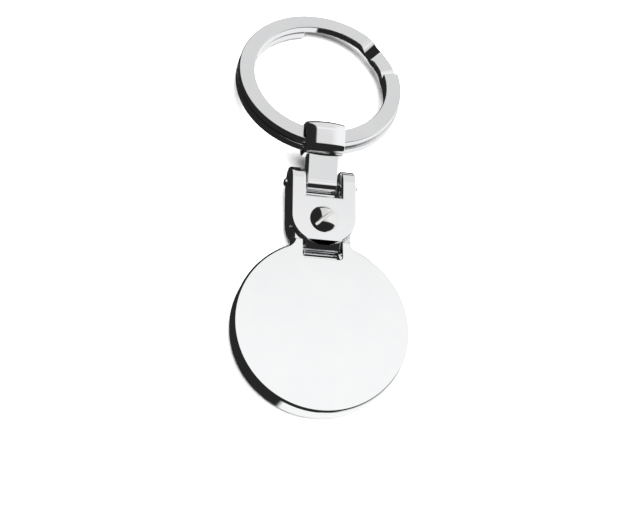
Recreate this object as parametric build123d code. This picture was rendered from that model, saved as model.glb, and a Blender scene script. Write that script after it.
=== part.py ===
from build123d import *
import math
import os

# Round blank token on a key-ring hanger. Millimetres.
# +X is to the right, +Y runs from the token towards the ring, +Z is the way the token faces.
# The origin is the centre of the token's back face.

# ---- token ---------------------------------------------------------------------------------
TOKEN_R = 17.5
TOKEN_T = 5.0
TOKEN_EDGE = 0.35
NECK_W = 11.4
NECK_FILLET = 2.4
WINDOW_W = 8.0
WINDOW_LOW_Y = 13.8
WINDOW_CORNER = 0.6
BAR_R = 2.3
NECK_STEP_Y = 17.6
NECK_RELIEF = 0.1

MID_Z = TOKEN_T / 2

# ---- shackle -------------------------------------------------------------------------------
BOW_Y = 18.3
YOKE_T = 6.6
YOKE_W = 13.4
YOKE_LOW_Y = 16.8
YOKE_CORNER = 5.8
CAVITY_R = 2.65
BOW_INNER_R = 2.45
BOW_W = 6.9
PIN_Y = 30.5
SLOT_W = 7.3
SLOT_LOW_Y = 26.85

# ---- fasteners -----------------------------------------------------------------------------
SCREW_Y = 21.9
SCREW_SHANK_R = 1.0
SCREW_HEAD_R = 2.85
SCREW_DOME = 1.2
SCREW_SLOT_W = 0.6
SCREW_SLOT_DEEP = 0.75
SCREW_SLOT_TURN = 42.0
PIN_R = 0.85
PIN_LENGTH = 15.3
PIN_DOME = 0.3
PIN_CLEARANCE = 0.05

# ---- link ----------------------------------------------------------------------------------
LINK_LIFT = 11.0
LINK_LENGTH = 9.5
KNUCKLE_R = 1.9
TONGUE_W = 6.2
TONGUE_T = 3.4
EYE_W = 8.1
EYE_LENGTH = 7.2
EYE_T = 7.2
EYE_CORNER = 2.2
EYE_CROWN_R = 14.0
EYE_HOLE_R = 2.75
EYE_HOLE_BACK = 0.3

# ---- split ring ----------------------------------------------------------------------------
RING_OUT_R = 17.5
RING_IN_R = 14.2
RING_TURN_T = 1.7
RING_GAP = 0.1
RING_DROP = 13.0
RING_SET_BACK = 0.25
FRONT_END = 12.0
JOG_START = 33.0
JOG_END = 51.0
REAR_START = 100.0
JOG_STEPS = 13
EARLY_RISE = 0.4          # share of the climb made just past the front end
EARLY_END = 22.0          # degrees, end of that first climb
ROLL_DEG = 36.0           # lean of the wire towards the ring's inside, at its steepest
ROLL_AT = 40.0            # degrees along the ring
ROLL_HALF = 9.0           # degrees over which the lean fades out

MARGIN = 1.0

HALF_T = YOKE_T / 2
YOKE_FRONT_Z = MID_Z + HALF_T
YOKE_BACK_Z = MID_Z - HALF_T
ABOUT_X = (0, 90, 0)


def x_rod(radius, length, y=0.0, z=0.0):
    """A round bar along X, centred on x = 0."""
    return Pos(0, y, z) * Rotation(*ABOUT_X) * Cylinder(radius, length)


def block(x_size, y_low, y_high, z_low, z_high):
    """A box centred on x = 0, given by its ends along Y and Z."""
    centre = Pos(0, (y_low + y_high) / 2, (z_low + z_high) / 2)
    return centre * Box(x_size, y_high - y_low, z_high - z_low)


def make_token():
    """The disc and its neck in one piece, with a round bar left across the top of the window.

    The neck is a little thinner where the skirts of the shackle pass over it."""
    outline = Circle(TOKEN_R) + Pos(0, BOW_Y / 2) * Rectangle(NECK_W, BOW_Y)
    corner_y = math.sqrt(TOKEN_R**2 - (NECK_W / 2) ** 2)
    corners = [v for v in outline.vertices() if abs(v.Y - corner_y) < 0.01]
    outline = fillet(corners, NECK_FILLET)
    body = extrude(outline, TOKEN_T)
    rims = [e for e in body.edges() if e.geom_type == GeomType.CIRCLE and e.radius > TOKEN_R - 0.01]
    body = chamfer(rims, TOKEN_EDGE)
    body += x_rod(MID_Z, NECK_W, BOW_Y, MID_Z)
    neck_end_y = BOW_Y + MID_Z + MARGIN
    for low, high in ((TOKEN_T - NECK_RELIEF, TOKEN_T + MARGIN), (-MARGIN, NECK_RELIEF)):
        body -= block(NECK_W + MARGIN, NECK_STEP_Y, neck_end_y, low, high)
    window = Rectangle(WINDOW_W, neck_end_y - WINDOW_LOW_Y, align=(Align.CENTER, Align.MIN))
    window = fillet(window.vertices().sort_by(Axis.Y)[:2], WINDOW_CORNER)
    body -= Pos(0, WINDOW_LOW_Y, -MARGIN) * extrude(window, TOKEN_T + 2 * MARGIN)
    return body + x_rod(BAR_R, WINDOW_W, BOW_Y, MID_Z)


def make_yoke():
    """The whole shackle as one shape: ears above, shield below, and a bow that curls under the bar."""
    height = PIN_Y - YOKE_LOW_Y
    shield = Pos(0, YOKE_LOW_Y) * Rectangle(YOKE_W, height, align=(Align.CENTER, Align.MIN))
    shield = fillet(shield.vertices().sort_by(Axis.Y)[:2], YOKE_CORNER)
    body = Pos(0, 0, YOKE_BACK_Z) * extrude(shield, YOKE_T)
    body += x_rod(HALF_T, YOKE_W, PIN_Y, MID_Z)
    body -= block(SLOT_W, SLOT_LOW_Y, PIN_Y + YOKE_T, YOKE_BACK_Z - MARGIN, YOKE_FRONT_Z + MARGIN)
    body -= x_rod(CAVITY_R, YOKE_W + MARGIN, BOW_Y, MID_Z)
    body -= block(YOKE_W + MARGIN, YOKE_LOW_Y - MARGIN, BOW_Y, MID_Z - CAVITY_R, MID_Z + CAVITY_R)
    bow = x_rod(HALF_T, BOW_W, BOW_Y, MID_Z) - x_rod(BOW_INNER_R, BOW_W + MARGIN, BOW_Y, MID_Z)
    bow &= block(BOW_W, BOW_Y - YOKE_T, BOW_Y, YOKE_BACK_Z - MARGIN, YOKE_FRONT_Z + MARGIN)
    body += bow
    body -= x_rod(PIN_R, YOKE_W + MARGIN, PIN_Y, MID_Z)
    body -= Pos(0, SCREW_Y, MID_Z) * Cylinder(SCREW_SHANK_R, YOKE_T + MARGIN)
    return body


def half_of(yoke, z_low, z_high):
    """One half of the shackle, on one side of the plane through the hinge pin and the bow."""
    return yoke & block(YOKE_W + MARGIN, YOKE_LOW_Y - YOKE_T, PIN_Y + YOKE_T, z_low, z_high)


def make_screw():
    """A domed head with a straight slot, on a shank that is threaded into the rear half."""
    ball_r = (SCREW_HEAD_R**2 + SCREW_DOME**2) / (2 * SCREW_DOME)
    ball = Pos(0, 0, SCREW_DOME - ball_r) * Sphere(ball_r)
    head = ball & Pos(0, 0, SCREW_DOME / 2) * Cylinder(SCREW_HEAD_R, SCREW_DOME)
    slot = Pos(0, 0, SCREW_DOME) * Box(3 * SCREW_HEAD_R, SCREW_SLOT_W, 2 * SCREW_SLOT_DEEP)
    head -= Rotation(0, 0, SCREW_SLOT_TURN) * slot
    shank = Pos(0, 0, -YOKE_T / 2) * Cylinder(SCREW_SHANK_R, YOKE_T)
    return Pos(0, SCREW_Y, YOKE_FRONT_Z) * (head + shank)


def make_pin():
    """The cross pin, with low domed ends that stand out of both ears."""
    ball_r = (PIN_R**2 + PIN_DOME**2) / (2 * PIN_DOME)
    rod = Cylinder(PIN_R, PIN_LENGTH)
    reach = PIN_LENGTH / 2 - ball_r
    for end in (1, -1):
        tip = Pos(0, 0, end * reach) * Sphere(ball_r)
        middle = Pos(0, 0, -end * PIN_DOME) * Cylinder(PIN_R + MARGIN, PIN_LENGTH)
        rod &= middle + tip
    return Pos(0, PIN_Y, MID_Z) * Rotation(*ABOUT_X) * rod


def make_link():
    """Knuckle, tongue and crowned eye, made flat with the knuckle at the origin, then lifted."""
    eye = Pos(0, LINK_LENGTH, 0) * Box(EYE_W, EYE_LENGTH, EYE_T)
    eye = fillet(eye.edges().filter_by(Axis.X), EYE_CORNER)
    for side in (1, -1):
        centre_z = side * (EYE_T / 2 - EYE_CROWN_R)
        barrel = Rotation(90, 0, 0) * Cylinder(EYE_CROWN_R, 4 * LINK_LENGTH)
        eye &= Pos(0, 0, centre_z) * barrel
    tongue = block(TONGUE_W, 0, LINK_LENGTH, -TONGUE_T / 2, TONGUE_T / 2)
    link = eye + tongue + x_rod(KNUCKLE_R, TONGUE_W)
    link -= x_rod(EYE_HOLE_R, EYE_W + MARGIN, LINK_LENGTH - EYE_HOLE_BACK)
    link -= x_rod(PIN_R + PIN_CLEARANCE, TONGUE_W + MARGIN)
    return Pos(0, PIN_Y, MID_Z) * Rotation(LINK_LIFT, 0, 0) * link


def flat_turn(start, end, z_low):
    """One flat stretch of the ring's wire, between two angles about the ring's axis."""
    outer = CenterArc((0, 0), RING_OUT_R, start, end - start)
    inner = CenterArc((0, 0), RING_IN_R, start, end - start)
    ends = [Line(inner @ k, outer @ k) for k in (0, 1)]
    face = make_face([outer, inner] + ends)
    return Pos(0, 0, z_low) * extrude(face, RING_TURN_T)


def soft_part(value, low, high):
    """A smooth share from 0 to 1 between two values."""
    part = min(max((value - low) / (high - low), 0.0), 1.0)
    return part * part * (3 - 2 * part)


def jog():
    """The stretch where the wire climbs from the rear layer to the front one and leans inwards."""
    middle_r = (RING_OUT_R + RING_IN_R) / 2
    rise = RING_TURN_T + RING_GAP
    sections = []
    for step in range(JOG_STEPS + 1):
        turn = FRONT_END + (JOG_END - FRONT_END) * step / JOG_STEPS
        early = EARLY_RISE * soft_part(turn, FRONT_END, EARLY_END)
        late = (1 - EARLY_RISE) * soft_part(turn, JOG_START, JOG_END)
        z = rise * (early + late - 0.5)
        roll = math.radians(ROLL_DEG) * (1 - soft_part(abs(turn - ROLL_AT), 0.0, ROLL_HALF))
        angle = math.radians(turn)
        across = (math.cos(angle) * math.cos(roll), math.sin(angle) * math.cos(roll), math.sin(roll))
        along = (-math.sin(angle), math.cos(angle), 0)
        origin = (middle_r * math.cos(angle), middle_r * math.sin(angle), z)
        plane = Plane(origin=origin, x_dir=across, z_dir=along)
        sections.append(plane * Rectangle(RING_OUT_R - RING_IN_R, RING_TURN_T))
    return loft(sections)


def make_ring():
    """A flat wire of nearly two turns: front layer, short jog and rear layer, lowered at its far side."""
    front = flat_turn(JOG_END, FRONT_END + 360, RING_GAP / 2)
    rear = flat_turn(REAR_START, FRONT_END + 360, -RING_GAP / 2 - RING_TURN_T)
    wire = front + jog() + rear
    return ring_place() * wire


def eye_hole_centre():
    lift = math.radians(LINK_LIFT)
    reach = LINK_LENGTH - EYE_HOLE_BACK
    return (PIN_Y + reach * math.cos(lift), MID_Z + reach * math.sin(lift))


def ring_centre():
    drop = math.radians(RING_DROP)
    reach = (RING_OUT_R + RING_IN_R) / 2 - RING_SET_BACK
    eye_y, eye_z = eye_hole_centre()
    return (0, eye_y + reach * math.cos(drop), eye_z - reach * math.sin(drop))


def ring_place():
    return Pos(*ring_centre()) * Rotation(-RING_DROP, 0, 0)


YOKE = make_yoke()
NODES = {
    "disc": make_token(),
    "yoke_front": half_of(YOKE, MID_Z, YOKE_FRONT_Z + MARGIN),
    "yoke_rear": half_of(YOKE, YOKE_BACK_Z - MARGIN, MID_Z),
    "clamp_screw": make_screw(),
    "hinge_pin": make_pin(),
    "link": make_link(),
    "split_ring": make_ring(),
}

os.makedirs("parts", exist_ok=True)
for name, shape in NODES.items():
    export_step(shape, f"parts/{name}.step")
    box = shape.bounding_box()
    print(name, len(shape.solids()), round(shape.volume, 1), box.min, box.max)
print("ring centre", [round(c, 3) for c in ring_centre()])
print("eye hole centre", [round(c, 3) for c in eye_hole_centre()])
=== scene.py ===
# %% [markdown]
# # A chrome token on a key-ring hanger
# The object is a blank round token of polished chrome. Its neck hangs in a screwed shackle,
# the shackle carries a hinged eye link, and the link carries a flat split ring of two turns.
# The CAD frame comes first: every piece made here stands where its CAD node says.

import math

import bmesh
import bpy
from mathutils import Matrix, Vector


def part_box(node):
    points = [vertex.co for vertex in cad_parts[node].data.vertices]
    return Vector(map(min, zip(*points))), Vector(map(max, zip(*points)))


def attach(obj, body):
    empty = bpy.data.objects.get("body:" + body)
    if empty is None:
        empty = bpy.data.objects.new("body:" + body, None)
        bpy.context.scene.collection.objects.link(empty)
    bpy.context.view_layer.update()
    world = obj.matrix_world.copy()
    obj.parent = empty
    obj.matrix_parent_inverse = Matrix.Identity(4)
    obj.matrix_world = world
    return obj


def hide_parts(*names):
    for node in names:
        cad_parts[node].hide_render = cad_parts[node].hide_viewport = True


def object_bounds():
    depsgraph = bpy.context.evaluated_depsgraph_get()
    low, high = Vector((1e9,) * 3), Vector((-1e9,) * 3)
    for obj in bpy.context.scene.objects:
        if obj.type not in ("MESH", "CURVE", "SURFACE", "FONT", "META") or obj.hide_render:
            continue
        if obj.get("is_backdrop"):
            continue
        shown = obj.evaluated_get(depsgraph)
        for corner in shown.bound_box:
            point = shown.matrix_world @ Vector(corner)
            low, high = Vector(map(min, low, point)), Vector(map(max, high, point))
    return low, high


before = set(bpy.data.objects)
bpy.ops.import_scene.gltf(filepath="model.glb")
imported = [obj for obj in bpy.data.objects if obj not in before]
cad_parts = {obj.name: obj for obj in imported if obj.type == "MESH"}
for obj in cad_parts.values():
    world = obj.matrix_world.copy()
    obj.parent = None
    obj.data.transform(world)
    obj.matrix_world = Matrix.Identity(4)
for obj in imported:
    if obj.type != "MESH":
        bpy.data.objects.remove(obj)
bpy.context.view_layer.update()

# %% [markdown]
# ## Sizes
# The pieces are modelled in millimetres, as a drawing of such hardware would give them, and are
# scaled to metres when they are done. The sizes are the ones that the CAD nodes were built to. The
# modelled edge rounds, the ring's crease and its front coil's shrink and shift are not in the CAD.

# %% Sizes in millimetres
MM = 0.001
TOKEN_T = 5.0
MID_Z = TOKEN_T / 2
PIN_Y = 30.5
PIN_R = 0.85
PIN_HALF = 7.65
PIN_DOME = 0.3
SCREW_Y = 21.9
SCREW_Z = 5.8
SCREW_HEAD_R = 2.85
SCREW_DOME = 1.2
SCREW_SHANK_R = 1.0
SCREW_LENGTH = 6.6
SCREW_SLOT_W = 0.6
SCREW_SLOT_DEEP = 0.75
SCREW_SLOT_TURN = 42.0
SCREW_ROUND = 0.05
LINK_LIFT = 11.0
LINK_LENGTH = 9.5
KNUCKLE_R = 1.9
TONGUE_W = 6.2
TONGUE_T = 3.4
TONGUE_BURIED = 0.2
PIN_CLEARANCE = 0.05
EYE_W = 8.1
EYE_LENGTH = 7.2
EYE_T = 7.2
EYE_CORNER = 2.2
EYE_CROWN_R = 14.0
EYE_HOLE_R = 2.75
EYE_HOLE_BACK = 0.3
RING_OUT_R = 17.5
RING_IN_R = 14.2
RING_TURN_T = 1.7
RING_GAP = 0.1
RING_DROP = 13.0
RING_SET_BACK = 0.25
FRONT_END = 12.0
JOG_START = 33.0
JOG_END = 51.0
EARLY_RISE = 0.4
EARLY_END = 22.0
ROLL_AT = 40.0
ROLL_HALF = 9.0
ROLL_DEG = 36.0
COIL_SHRINK = 0.2
COIL_SHIFT = 0.25
REAR_START = 100.0
CREASE = 69.0
TOKEN_ROUND = 0.12
LINK_ROUND = 0.18
EYE_RIM_SHARE = 0.3
SAME = 0.01
MERGE = 0.002
FLAT = math.radians(0.6)
print("token", TOKEN_T, "mm thick, ring", 2 * RING_OUT_R, "mm across")

# %% [markdown]
# ## Camera
# The viewer looks at the token's face from below and a little from the left, so the left walls
# show. The camera is aimed with three angles and a distance, the way a tripod head is set.

# %% Camera
CAMERA_YAW = math.radians(13.0)
CAMERA_PITCH = math.radians(21.69)
CAMERA_ROLL = math.radians(0.37)
CAMERA_DISTANCE = 300.5 * MM
CAMERA_TARGET = Vector((0.58, 16.29, 0.0)) * MM
CAMERA_LENS = 84.4

camera = bpy.data.objects.new("camera", bpy.data.cameras.new("camera"))
bpy.context.scene.collection.objects.link(camera)
back = Vector((
    -math.sin(CAMERA_YAW) * math.cos(CAMERA_PITCH),
    -math.sin(CAMERA_PITCH),
    math.cos(CAMERA_YAW) * math.cos(CAMERA_PITCH),
))
upright = Vector((-math.sin(CAMERA_ROLL), math.cos(CAMERA_ROLL), 0.0))
right = upright.cross(back).normalized()
above = back.cross(right)
turn = Matrix((right, above, back)).transposed()
camera.matrix_world = Matrix.Translation(CAMERA_TARGET + back * CAMERA_DISTANCE) @ turn.to_4x4()
camera.data.lens = CAMERA_LENS
camera.data.sensor_width = 36.0
camera.data.clip_start = 0.01
bpy.context.scene.camera = camera
print("camera at", [round(c, 4) for c in camera.location])

# %% [markdown]
# ## Node helper
# Every finish below is a handful of shader nodes. One small function adds a node, sets what it is
# given, and joins its inputs, so that each material reads as a short list.

# %% Node helper
def linear(hex_code):
    """An sRGB hex colour as linear RGBA."""
    parts = [int(hex_code[i:i + 2], 16) / 255 for i in (1, 3, 5)]
    light = [c / 12.92 if c <= 0.04045 else ((c + 0.055) / 1.055) ** 2.4 for c in parts]
    return tuple(light) + (1.0,)


def add(tree, kind, inputs=None, **settings):
    """Adds one node. An input takes a plain value, or a socket to join."""
    node = tree.nodes.new(kind)
    for key, value in settings.items():
        setattr(node, key, value)
    for key, value in (inputs or {}).items():
        if isinstance(value, bpy.types.NodeSocket):
            tree.links.new(value, node.inputs[key])
        else:
            node.inputs[key].default_value = value
    return node


def ramp(tree, value, low, high, to_low=0.0, to_high=1.0):
    """A soft step from one value to another."""
    node = add(tree, "ShaderNodeMapRange", {
        "Value": value, "From Min": low, "From Max": high, "To Min": to_low, "To Max": to_high,
    }, interpolation_type="SMOOTHSTEP")
    return node.outputs["Result"]


def sums(tree, operation, a, b):
    """One step of arithmetic on two values."""
    return add(tree, "ShaderNodeMath", {0: a, 1: b}, operation=operation).outputs[0]


# %% [markdown]
# ## Studio
# Polished chrome has almost no colour of its own: it shows the room. A jeweller's tent is white all
# round, with one black card on the left and the dark opening that the lens looks through. The card
# draws the black bands on the left walls, and the opening draws the dark line under each edge.
# Low on the right a white wall stands in front of the opening, so the right-hand edges stay light.
# Seen from behind, the chrome reflects mostly the card and the opening, and looks nearly black.
# The room is a world shader, because its parts are far away and soft.

# %% Studio room
CARD_HIGH_X = -0.08
CARD_LOW_X = -0.10
CARD_LOW_TURN = 0.8
CARD_FOOT_X = 0.3
CARD_FOOT_Y = (-0.6, -0.5)
CARD_CHANGE_Z = (-0.3, 0.1)
CARD_SOFT = 0.025
CARD_TONE = 0.022
WALL_FOOT_Z = (-0.2, 0.0)
WALL_TOP_Z = (0.12, 0.3)
WALL_X = (0.35, 0.55)
OPENING_Y = (-0.12, -0.02)
OPENING_Z = (-0.25, -0.05)
TENT_TONE = 0.80
TENT_GLOW = 0.22
GLOW_Y = 0.29
GLOW_SPREAD = 0.22
SIDE_X = (0.30, 0.55)
DOWN_Z = (0.2, -0.1)
BACKDROP = 0.98

world = bpy.data.worlds.new("white_tent")
bpy.context.scene.world = world
world.use_nodes = True
tree = world.node_tree
tree.nodes.clear()
direction = add(tree, "ShaderNodeTexCoord").outputs["Generated"]
axes = add(tree, "ShaderNodeSeparateXYZ", {0: direction}).outputs
turned = sums(tree, "MULTIPLY", sums(tree, "MAXIMUM", axes["Y"], 0.0), CARD_LOW_TURN)
foot = ramp(tree, axes["Y"], *CARD_FOOT_Y, CARD_FOOT_X, 0.0)
low_edge = sums(tree, "ADD", sums(tree, "ADD", turned, foot), CARD_LOW_X)
upward = ramp(tree, axes["Z"], *CARD_CHANGE_Z)
card_edge = add(
    tree, "ShaderNodeMix", {0: upward, 2: low_edge, 3: CARD_HIGH_X}, data_type="FLOAT",
).outputs[0]
past_card = sums(tree, "SUBTRACT", axes["X"], card_edge)
card = ramp(tree, past_card, -CARD_SOFT, CARD_SOFT)
opening_low = ramp(tree, axes["Y"], *OPENING_Y, 1.0, 0.0)
opening_up = ramp(tree, axes["Z"], *OPENING_Z)
opening = sums(tree, "SUBTRACT", 1.0, sums(tree, "MULTIPLY", opening_low, opening_up))
from_lamp = sums(tree, "ABSOLUTE", sums(tree, "SUBTRACT", axes["Y"], GLOW_Y), 0.0)
glow = ramp(tree, from_lamp, 0.0, GLOW_SPREAD, TENT_GLOW, 0.0)
tent_top = sums(tree, "ADD", glow, TENT_TONE)
on_right = ramp(tree, axes["X"], *SIDE_X)
downward = ramp(tree, axes["Z"], *DOWN_Z)
to_side = sums(tree, "MAXIMUM", on_right, downward)
tent = add(tree, "ShaderNodeMix", {0: to_side, 2: tent_top, 3: 1.0}, data_type="FLOAT").outputs[0]
wall_foot = ramp(tree, axes["Z"], *WALL_FOOT_Z)
wall_top = ramp(tree, axes["Z"], *WALL_TOP_Z, 1.0, 0.0)
wall_side = ramp(tree, axes["X"], *WALL_X)
white_wall = sums(tree, "MULTIPLY", sums(tree, "MULTIPLY", wall_foot, wall_top), wall_side)
not_dark = sums(tree, "MAXIMUM", white_wall, sums(tree, "MULTIPLY", card, opening))
lit = sums(tree, "MULTIPLY", tent, not_dark)
room_tone = sums(tree, "MAXIMUM", lit, CARD_TONE)
room_light = add(tree, "ShaderNodeBackground", {"Color": room_tone})
plain = add(tree, "ShaderNodeBackground", {"Color": (1.0, 1.0, 1.0, 1.0), "Strength": BACKDROP})
seen = add(tree, "ShaderNodeLightPath").outputs["Is Camera Ray"]
mixed = add(tree, "ShaderNodeMixShader", {0: seen, 1: room_light.outputs[0], 2: plain.outputs[0]})
add(tree, "ShaderNodeOutputWorld", {"Surface": mixed.outputs[0]})
bpy.context.scene.view_settings.view_transform = "Standard"
print("tent with one card, tone", CARD_TONE)

# %% Key light
KEY_ENERGY = 11.0
KEY_WIDTH = 70
KEY_TIP = -12
KEY_LEAN = 14

key = bpy.data.objects.new("key_light", bpy.data.lights.new("key_light", "SUN"))
bpy.context.scene.collection.objects.link(key)
key.data.energy = KEY_ENERGY
key.data.angle = math.radians(KEY_WIDTH)
key.rotation_euler = (math.radians(KEY_TIP), math.radians(KEY_LEAN), 0)
key.visible_glossy = False
print("one wide soft light from above")


# %% [markdown]
# ## Floor
# A sheet of white acrylic. The token's foot and the ring's far side both lie on it, so it slopes a
# little. Seen from below it is clear, so that the back of the object can be inspected.

# %% Floor
FLOOR_HALF = 600.0
FLOOR_FOOT_Y = -17.5
FLOOR_FAR_Y = 72.0
FLOOR_GAP = 0.02
floor_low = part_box("split_ring")[0].z
floor_slope = math.atan2(floor_low, (FLOOR_FAR_Y - FLOOR_FOOT_Y) * MM)

bm = bmesh.new()
bmesh.ops.create_grid(bm, x_segments=1, y_segments=1, size=FLOOR_HALF * MM)
bmesh.ops.rotate(bm, verts=bm.verts, cent=(0, 0, 0), matrix=Matrix.Rotation(floor_slope, 3, "X"))
bmesh.ops.translate(bm, verts=bm.verts, vec=(0, FLOOR_FOOT_Y * MM, -FLOOR_GAP * MM))
floor_mesh = bpy.data.meshes.new("floor")
bm.to_mesh(floor_mesh)
bm.free()
floor = bpy.data.objects.new("floor", floor_mesh)
bpy.context.scene.collection.objects.link(floor)
floor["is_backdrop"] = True
floor.visible_glossy = False

acrylic = bpy.data.materials.new("white_acrylic_sheet_cast")
acrylic.use_nodes = True
tree = acrylic.node_tree
tree.nodes.clear()
matt = add(tree, "ShaderNodeBsdfDiffuse", {"Color": linear("#F6F6F6")})
clear = add(tree, "ShaderNodeBsdfTransparent")
under = add(tree, "ShaderNodeNewGeometry").outputs["Backfacing"]
sheet = add(tree, "ShaderNodeMixShader", {0: under, 1: matt.outputs[0], 2: clear.outputs[0]})
add(tree, "ShaderNodeOutputMaterial", {"Surface": sheet.outputs[0]})
floor_mesh.materials.append(acrylic)
print("floor slopes", round(math.degrees(floor_slope), 2), "degrees")


# %% [markdown]
# ## Finishes
# Chrome is a thin plate over a polished blank: a hard, neutral, slightly blue mirror. What sets one
# part from another is how it was made before plating. The token was buffed flat and carries hair
# scratches. The shackle and link are die cast, so their faces wave a little. The ring is tumbled
# spring steel, greyer and softer. The screw shows its turning marks.
# Each finish is one Principled shader. Noise in real millimetres drives its roughness and bump.

# %% Metal finish
SMUDGE_MM = 6.0


def metal(name, tone, rough, rough_spread, wave_mm, wave_height, hair_mm, hair_height, stretch):
    """A plated metal: slow waves, hair scratches drawn out along one axis, and uneven gloss."""
    material = bpy.data.materials.new(name)
    material.use_nodes = True
    tree = material.node_tree
    tree.nodes.clear()
    place = add(tree, "ShaderNodeTexCoord").outputs["Object"]
    wave = add(tree, "ShaderNodeTexNoise", {
        "Vector": place, "Scale": 1.0 / (wave_mm * MM), "Detail": 2.0, "Roughness": 0.5,
    })
    drawn = add(tree, "ShaderNodeMapping", {"Vector": place, "Scale": stretch})
    hair = add(tree, "ShaderNodeTexNoise", {
        "Vector": drawn.outputs[0], "Scale": 1.0 / (hair_mm * MM), "Detail": 4.0, "Roughness": 0.65,
    })
    smudge = add(tree, "ShaderNodeTexNoise", {
        "Vector": place, "Scale": 1.0 / (SMUDGE_MM * MM), "Detail": 5.0, "Roughness": 0.6,
    })
    gloss = ramp(tree, smudge.outputs[0], 0.35, 0.7, rough, rough + rough_spread)
    scratched = ramp(tree, hair.outputs[0], 0.66, 0.8, 0.0, 0.5 * rough_spread)
    colour = add(tree, "ShaderNodeMix", {
        0: smudge.outputs[0], 6: linear(tone[0]), 7: linear(tone[1]),
    }, data_type="RGBA")
    soft = add(tree, "ShaderNodeBump", {
        "Height": wave.outputs[0], "Distance": wave_height * MM, "Strength": 1.0,
    })
    fine = add(tree, "ShaderNodeBump", {
        "Height": hair.outputs[0], "Distance": hair_height * MM, "Strength": 1.0,
        "Normal": soft.outputs[0],
    })
    shader = add(tree, "ShaderNodeBsdfPrincipled", {
        "Base Color": colour.outputs[2], "Metallic": 1.0,
        "Roughness": sums(tree, "ADD", gloss, scratched), "Normal": fine.outputs[0],
    })
    add(tree, "ShaderNodeOutputMaterial", {"Surface": shader.outputs[0]})
    return material


buffed_chrome = metal(
    "chrome_plate_buffed_flat", ("#F1F2F3", "#F7F8F8"), 0.035, 0.03, 9.0, 0.002, 0.25, 0.00006,
    (1.0, 9.0, 1.0),
)
cast_chrome = metal(
    "chrome_plate_on_die_casting", ("#EFF0F1", "#F6F6F7"), 0.04, 0.035, 3.5, 0.004, 0.2, 0.00008,
    (1.0, 5.0, 1.0),
)
screw_nickel = metal(
    "nickel_plate_on_turned_steel", ("#E6E6E4", "#F0EFED"), 0.06, 0.04, 2.0, 0.002, 0.15, 0.0001,
    (1.0, 1.0, 1.0),
)
pin_nickel = metal(
    "nickel_plate_on_drawn_wire", ("#E2E2E2", "#EEEEEE"), 0.08, 0.05, 2.0, 0.002, 0.12, 0.0001,
    (0.15, 1.0, 1.0),
)
ring_nickel = metal(
    "nickel_plate_on_tumbled_spring_steel", ("#E6E7E8", "#EFEFF0"), 0.06, 0.04, 4.0, 0.003, 0.3,
    0.0001, (1.0, 1.0, 1.0),
)
print("five metals")


# %% [markdown]
# ## From mesh to piece
# A mirror shows every dent in its shading, so each piece gets the same care: doubles merged, normals
# made to point outwards, and a small round on its sharp edges that keeps the flat faces flat.
# The round is a Bevel modifier, and a Weighted Normal modifier gives the shading of each round to
# its large flat neighbour.

# %% Piece helper
SHARP = math.radians(28)


def piece(name, bm, body, node_names, material, edge_mm, edge_steps=4, share=None):
    """Turns a bmesh in millimetres into a finished object on its body.

    Share is a function that gives an edge its part of the round.
    """
    bmesh.ops.remove_doubles(bm, verts=bm.verts, dist=MERGE)
    bmesh.ops.recalc_face_normals(bm, faces=bm.faces)
    weight = bm.edges.layers.float.new("bevel_weight_edge")
    for edge in bm.edges:
        if len(edge.link_faces) == 2 and edge.calc_face_angle() > SHARP:
            edge[weight] = share(edge) if share else 1.0
    for face in bm.faces:
        face.smooth = True
    bmesh.ops.scale(bm, vec=(MM, MM, MM), verts=bm.verts)
    mesh = bpy.data.meshes.new(name)
    bm.to_mesh(mesh)
    bm.free()
    obj = bpy.data.objects.new(name, mesh)
    bpy.context.scene.collection.objects.link(obj)
    mesh.materials.append(material)
    if edge_mm:
        bevel = obj.modifiers.new("edge_round", "BEVEL")
        bevel.limit_method = "WEIGHT"
        bevel.width = edge_mm * MM
        bevel.segments = edge_steps
        bevel.use_clamp_overlap = False
        bevel.loop_slide = False
    even = obj.modifiers.new("flat_faces_flat", "WEIGHTED_NORMAL")
    even.mode = "FACE_AREA"
    even.weight = 100
    even.keep_sharp = True
    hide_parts(*node_names)
    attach(obj, body)
    print(name, len(mesh.polygons), "faces")
    return obj


def from_cad(node):
    """A copy of a CAD node's mesh in millimetres, merged, with its flat faces whole again."""
    bm = bmesh.new()
    bm.from_mesh(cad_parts[node].data)
    bmesh.ops.scale(bm, vec=(1 / MM, 1 / MM, 1 / MM), verts=bm.verts)
    bmesh.ops.remove_doubles(bm, verts=bm.verts, dist=MERGE)
    bmesh.ops.dissolve_limit(
        bm, angle_limit=FLAT, verts=bm.verts, edges=bm.edges, delimit=set(),
    )
    return bm


# %% [markdown]
# ## Token
# The token and its neck are one blank, pierced with a window that leaves a round bar at its top.
# Its outline mixes arcs and straights, which the CAD node already has, so a merged copy of that mesh
# is the start. The round on the rim is what turns it from a slug into a buffed blank.

# %% Token
piece(
    "token", from_cad("disc"), "token", ["disc"], buffed_chrome, TOKEN_ROUND,
    edge_steps=3,
)

# %% [markdown]
# ## Shackle
# Two cast halves meet at a seam through the hinge pin and the bow. The seam is tight, so its edges
# are barely broken, while the outer edges are tumbled round before plating. Where the hook runs
# into its foot a full round folds over itself, so it is smaller there. A small dark fold is left.

# %% Shackle halves
YOKE_EDGE = 0.4
SEAM_SHARE = 0.12
HOOK_SHARE = 0.4
HOOK_Y = 17.6
HOOK_HALF = 3.6


def yoke_share(edge):
    """The seam's own edges are barely broken, and so is the foot where the hook runs into it."""
    middle = (edge.verts[0].co + edge.verts[1].co) / 2
    if all(abs(v.co.z - MID_Z) < SAME for v in edge.verts):
        return SEAM_SHARE
    return HOOK_SHARE if middle.y < HOOK_Y and abs(middle.x) < HOOK_HALF else 1.0


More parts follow.
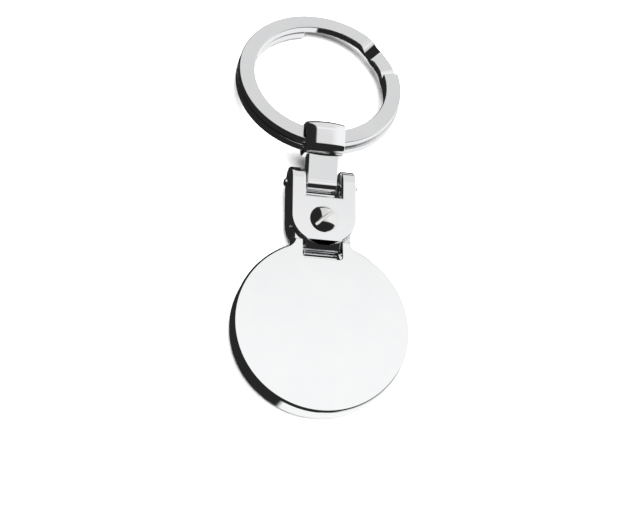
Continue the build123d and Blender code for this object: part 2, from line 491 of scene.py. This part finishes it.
for node, name in (("yoke_front", "shackle_front"), ("yoke_rear", "shackle_rear")):
    piece(
        name, from_cad(node), "shackle", [node], cast_chrome, YOKE_EDGE,
        edge_steps=6, share=yoke_share,
    )


# %% [markdown]
# ## Screw
# A screw with a low domed head. A lathe makes it, so a spin does too: half its outline is turned
# about its axis. The slot is sawn afterwards: two cuts across the dome, one extrusion pushed down
# to a flat floor, and the cut faces taken away.

# %% Screw
ball_r = (SCREW_HEAD_R**2 + SCREW_DOME**2) / (2 * SCREW_DOME)
dome_angle = math.asin(SCREW_HEAD_R / ball_r)
bm = bmesh.new()
dome_top = bm.verts.new((0, 0, SCREW_DOME))
bmesh.ops.spin(
    bm, geom=[dome_top], cent=(0, 0, SCREW_DOME - ball_r), axis=(0, 1, 0), angle=-dome_angle,
    steps=14,
)
rim = max(bm.verts, key=lambda v: abs(v.co.x))
side = 1.0 if rim.co.x > 0 else -1.0
last = rim
shank = ((SCREW_SHANK_R, 0.0), (SCREW_SHANK_R, -SCREW_LENGTH), (0.0, -SCREW_LENGTH))
for x, z in shank:
    corner = bm.verts.new((side * x, 0, z))
    bm.edges.new((last, corner))
    last = corner
bmesh.ops.spin(
    bm, geom=bm.verts[:] + bm.edges[:], cent=(0, 0, 0), axis=(0, 0, 1), angle=math.tau, steps=72,
    use_merge=True,
)
bmesh.ops.remove_doubles(bm, verts=bm.verts, dist=MERGE)
for edge_y in (-SCREW_SLOT_W / 2, SCREW_SLOT_W / 2):
    bmesh.ops.bisect_plane(
        bm, geom=bm.verts[:] + bm.edges[:] + bm.faces[:], dist=0.0005,
        plane_co=(0, edge_y, 0), plane_no=(0, 1, 0),
    )
bmesh.ops.recalc_face_normals(bm, faces=bm.faces)
in_slot = [
    f for f in bm.faces
    if abs(f.calc_center_median().y) < SCREW_SLOT_W / 2 and f.calc_center_median().z > 0.001
    and f.normal.z > 0.1
]
sawn = bmesh.ops.extrude_face_region(bm, geom=in_slot)
floor_z = SCREW_DOME - SCREW_SLOT_DEEP
for v in sawn["geom"]:
    if isinstance(v, bmesh.types.BMVert):
        v.co.z = min(floor_z, v.co.z)
bmesh.ops.delete(bm, geom=in_slot, context="FACES")
bmesh.ops.rotate(
    bm, verts=bm.verts, cent=(0, 0, 0), matrix=Matrix.Rotation(math.radians(SCREW_SLOT_TURN), 3, "Z"),
)
bmesh.ops.translate(bm, verts=bm.verts, vec=(0, SCREW_Y, SCREW_Z))
piece(
    "clamp_screw_domed", bm, "shackle", ["clamp_screw"], screw_nickel,
    SCREW_ROUND, edge_steps=2,
)

# %% [markdown]
# ## Hinge pin
# A cut wire with rounded ends that just show outside the ears: its outline spun about its length.

# %% Hinge pin
pin_ball_r = (PIN_R**2 + PIN_DOME**2) / (2 * PIN_DOME)
pin_angle = math.asin(PIN_R / pin_ball_r)
bm = bmesh.new()
tip = bm.verts.new((PIN_HALF, 0, 0))
bmesh.ops.spin(
    bm, geom=[tip], cent=(PIN_HALF - pin_ball_r, 0, 0), axis=(0, 1, 0), angle=-pin_angle, steps=6,
)
bmesh.ops.mirror(
    bm, geom=bm.verts[:] + bm.edges[:], matrix=Matrix.Identity(4), merge_dist=0.0001, axis="X",
)
outer = sorted(bm.verts, key=lambda v: abs(v.co.z))[-2:]
bm.edges.new(outer)
bmesh.ops.spin(
    bm, geom=bm.verts[:] + bm.edges[:], cent=(0, 0, 0), axis=(1, 0, 0), angle=math.tau, steps=40,
    use_merge=True,
)
bmesh.ops.translate(bm, verts=bm.verts, vec=(0, PIN_Y, MID_Z))
piece("hinge_pin_wire", bm, "shackle", ["hinge_pin"], pin_nickel, 0.0)


# %% [markdown]
# ## Link
# The link is cast in one: a knuckle on the pin, a flat tongue, and a crowned eye for the ring.
# Seen from the side, each part is an outline with a round hole. So an outline and a circle are
# drawn in the side view, carried across the width in steps, and closed at both ends. The eye's
# outline swells in the middle of its width, which gives the crown that bends the reflections.

# %% Pierced shape helper
def rounded_outline(bm, y_half, z_half, corner, steps):
    """A closed rectangle with round corners in the YZ plane."""
    before = set(bm.verts)
    bmesh.ops.create_grid(bm, x_segments=1, y_segments=1, size=1.0)
    verts = [v for v in bm.verts if v not in before]
    for v in verts:
        v.co = (0.0, v.co.x * y_half, v.co.y * z_half)
    bmesh.ops.bevel(
        bm, geom=verts, offset=corner, segments=steps, profile=0.5, affect="VERTICES", material=-1,
        clamp_overlap=True,
    )
    verts = [v for v in bm.verts if v not in before]
    faces = list({f for v in verts for f in v.link_faces})
    bmesh.ops.delete(bm, geom=faces, context="FACES_ONLY")
    return list({e for v in verts for e in v.link_edges})


def circle_outline(bm, radius, steps, centre_y=0.0):
    """A circle in the YZ plane."""
    before = set(bm.edges)
    bmesh.ops.create_circle(
        bm, radius=radius, segments=steps,
        matrix=Matrix.Translation((0, centre_y, 0)) @ Matrix.Rotation(math.pi / 2, 4, "Y"),
    )
    return [e for e in bm.edges if e not in before]


def carry_across(bm, outline, hole, width, steps, swell):
    """Carries an outline and its hole across the width, and closes both ends."""
    start = outline + hole
    for v in {v for e in start for v in e.verts}:
        v.co.x = -width / 2
    bmesh.ops.triangle_fill(bm, use_beauty=True, use_dissolve=False, edges=start)
    flat_shapes = {}
    outer = outline
    for v in {v for e in outer for v in e.verts}:
        flat_shapes[v] = v.co.copy()
    for step in range(steps + 1):
        x = -width / 2 + width * step / steps
        if step:
            grown = bmesh.ops.extrude_edge_only(bm, edges=outer)["geom"]
            new_verts = [g for g in grown if isinstance(g, bmesh.types.BMVert)]
            carried = {}
            for v in new_verts:
                old = min(flat_shapes, key=lambda o: (o.co - v.co).length)
                carried[v] = flat_shapes[old]
            flat_shapes = carried
            outer = [g for g in grown if isinstance(g, bmesh.types.BMEdge)
                     and all(w in carried for w in g.verts)]
            for v, flat in flat_shapes.items():
                v.co = (x, flat.y, flat.z)
        for v, flat in flat_shapes.items():
            shrink_y, shrink_z = swell(x)
            v.co = (x, flat.y * shrink_y, flat.z * shrink_z)
    grown = bmesh.ops.extrude_edge_only(bm, edges=hole)["geom"]
    bmesh.ops.translate(
        bm, vec=(width, 0, 0), verts=[g for g in grown if isinstance(g, bmesh.types.BMVert)],
    )
    far_inner = [g for g in grown if isinstance(g, bmesh.types.BMEdge)
                 and all(abs(w.co.x - width / 2) < 0.001 for w in g.verts)]
    bmesh.ops.triangle_fill(bm, use_beauty=True, use_dissolve=False, edges=outer + far_inner)


def crown(x):
    """How far the eye's outline shrinks at a distance from the middle of its width."""
    drop = EYE_CROWN_R - math.sqrt(EYE_CROWN_R**2 - x * x)
    return 1 - 0.5 * drop / (EYE_LENGTH / 2), 1 - drop / (EYE_T / 2)


def straight(x):
    """The tongue's outline is the same at every distance from the middle."""
    return 1.0, 1.0


# %% Link
bm = bmesh.new()
eye_outline = rounded_outline(bm, EYE_LENGTH / 2, EYE_T / 2, EYE_CORNER, steps=8)
eye_hole = circle_outline(bm, EYE_HOLE_R, steps=56, centre_y=-EYE_HOLE_BACK)
carry_across(bm, eye_outline, eye_hole, EYE_W, steps=16, swell=crown)
bmesh.ops.translate(bm, verts=bm.verts, vec=(0, LINK_LENGTH, 0))

tongue = bmesh.new()
knuckle_angle = math.asin(TONGUE_T / 2 / KNUCKLE_R)
first = tongue.verts.new((0, KNUCKLE_R * math.cos(knuckle_angle), TONGUE_T / 2))
bmesh.ops.spin(
    tongue, geom=[first], cent=(0, 0, 0), axis=(1, 0, 0), angle=math.tau - 2 * knuckle_angle, steps=28,
)
tongue_end = LINK_LENGTH - EYE_HOLE_BACK - EYE_HOLE_R - TONGUE_BURIED
far = tongue.verts.new((0, tongue_end, TONGUE_T / 2))
low = tongue.verts.new((0, tongue_end, -TONGUE_T / 2))
on_arc = [v for v in tongue.verts if v not in (far, low)]
last = min(on_arc, key=lambda v: (v.co - low.co).length)
tongue.edges.new((first, far))
tongue.edges.new((far, low))
tongue.edges.new((low, last))
tongue_outline = tongue.edges[:]
pin_hole = circle_outline(tongue, PIN_R + PIN_CLEARANCE, steps=32)
carry_across(tongue, tongue_outline, pin_hole, TONGUE_W, steps=1, swell=straight)
tongue_mesh = bpy.data.meshes.new("tongue_part")
tongue.to_mesh(tongue_mesh)
tongue.free()
bm.from_mesh(tongue_mesh)
bpy.data.meshes.remove(tongue_mesh)

bmesh.ops.rotate(
    bm, verts=bm.verts, cent=(0, 0, 0), matrix=Matrix.Rotation(math.radians(LINK_LIFT), 3, "X"),
)
bmesh.ops.translate(bm, verts=bm.verts, vec=(0, PIN_Y, MID_Z))


def eye_share(edge):
    """The rim of the eye's hole is rounded less than the outside."""
    middle = (edge.verts[0].co + edge.verts[1].co) / 2
    from_hole = math.hypot(middle.y - hole_y, middle.z - hole_z)
    return EYE_RIM_SHARE if from_hole < EYE_HOLE_R + 2 * SAME else 1.0


lift = math.radians(LINK_LIFT)
hole_y = PIN_Y + (LINK_LENGTH - EYE_HOLE_BACK) * math.cos(lift)
hole_z = MID_Z + (LINK_LENGTH - EYE_HOLE_BACK) * math.sin(lift)
piece(
    "eye_link_cast", bm, "eye_link", ["link"], cast_chrome, LINK_ROUND,
    edge_steps=4, share=eye_share,
)

# %% [markdown]
# ## Split ring
# A flat spring wire is wound nearly twice round, jumps from the rear layer to the front layer in one
# short jog, and is sheared off at both ends. The wire's section is drawn once and then carried round
# in small steps: turn, and in the jog also lift, in two goes, and lean inwards. The front layer, the
# jog and the rear layer are one wire, as on the real ring. The front coil is a little smaller and
# off centre, so that the rear coil's ledge shows. It is a look only, and it lets that coil cut
# slightly into the wall of the eye. Past the jog the bending tool leaves a fine crease, where the
# section is pinched for a third of a degree.

# %% Split ring
RING_STEP = 2.5
JOG_STEP = 1.0
WIRE_EDGE = 0.2
CREASE_HALF = 0.35
CREASE_PINCH = 0.97
WIRE_END_EDGE = 0.08
middle_r = (RING_OUT_R + RING_IN_R) / 2
rise = RING_TURN_T + RING_GAP


def soft_part(value, low, high):
    """A smooth share from 0 to 1 between two values."""
    part = min(max((value - low) / (high - low), 0.0), 1.0)
    return part * part * (3 - 2 * part)


def wire_height(angle):
    """Height of the wire's middle at an angle along its run, from the rear end to the front end."""
    early = soft_part(angle, FRONT_END, EARLY_END)
    late = soft_part(angle, JOG_START, JOG_END)
    return rise * (EARLY_RISE * early + (1 - EARLY_RISE) * late - 0.5)


def wire_roll(angle):
    """How far the wire leans inwards where the bending tool pressed it across."""
    return math.radians(ROLL_DEG) * (1 - soft_part(abs(angle - ROLL_AT), 0.0, ROLL_HALF))


def stations(start, end, step):
    """Angles at even steps from the start up to, but without, the end."""
    count = max(1, round((end - start) / step))
    return [start + (end - start) * k / count for k in range(count)]


run = stations(REAR_START - 360, FRONT_END, RING_STEP)
run += stations(FRONT_END, JOG_END, JOG_STEP)
run += stations(JOG_END, CREASE - CREASE_HALF, RING_STEP)
run += [CREASE - CREASE_HALF, CREASE, CREASE + CREASE_HALF]
run += stations(CREASE + CREASE_HALF, FRONT_END + 360, RING_STEP)[1:] + [FRONT_END + 360]

bm = bmesh.new()
wire = rounded_outline(bm, (RING_OUT_R - RING_IN_R) / 2, RING_TURN_T / 2, WIRE_EDGE, steps=3)
ends = [wire]
for v in {v for e in wire for v in e.verts}:
    v.co = (middle_r + v.co.y, 0, v.co.z)
section = {v: v.co.copy() for e in wire for v in e.verts}
for number, angle in enumerate(run):
    if number:
        grown = bmesh.ops.extrude_edge_only(bm, edges=wire)["geom"]
        fresh = [g for g in grown if isinstance(g, bmesh.types.BMVert)]
        nearest = {v: min(section, key=lambda o: (o.co - v.co).length) for v in fresh}
        section = {v: section[old] for v, old in nearest.items()}
        new_edges = [g for g in grown if isinstance(g, bmesh.types.BMEdge)]
        wire = [e for e in new_edges if all(w in section for w in e.verts)]
    pinch = CREASE_PINCH if angle == CREASE else 1.0
    about = Matrix.Rotation(math.radians(angle), 3, "Z")
    in_front = soft_part(angle, JOG_START, JOG_END)
    run_r = middle_r - COIL_SHRINK * in_front
    lean = Matrix.Rotation(-wire_roll(angle), 3, "Y")
    for v, flat in section.items():
        squeezed = lean @ Vector(((flat.x - middle_r) * pinch, 0, flat.z * pinch))
        off_centre = Vector((0, COIL_SHIFT * in_front, wire_height(angle)))
        v.co = about @ (squeezed + Vector((run_r, 0, 0))) + off_centre
ends.append(wire)
for end in ends:
    cap = bmesh.ops.contextual_create(bm, geom=end)["faces"]
    rim = [e for f in cap for e in f.edges]
    bmesh.ops.bevel(
        bm, geom=rim, offset=WIRE_END_EDGE, segments=2, profile=0.5, affect="EDGES", material=-1,
    )
drop = math.radians(RING_DROP)
reach = middle_r - RING_SET_BACK
ring_y = hole_y + reach * math.cos(drop)
ring_z = hole_z - reach * math.sin(drop)
bmesh.ops.rotate(bm, verts=bm.verts, cent=(0, 0, 0), matrix=Matrix.Rotation(-drop, 3, "X"))
bmesh.ops.translate(bm, verts=bm.verts, vec=(0, ring_y, ring_z))
piece("split_ring_wire", bm, "ring", ["split_ring"], ring_nickel, 0.0)

bpy.context.view_layer.update()
low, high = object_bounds()
print("visual box", [round(c, 5) for c in low], [round(c, 5) for c in high])
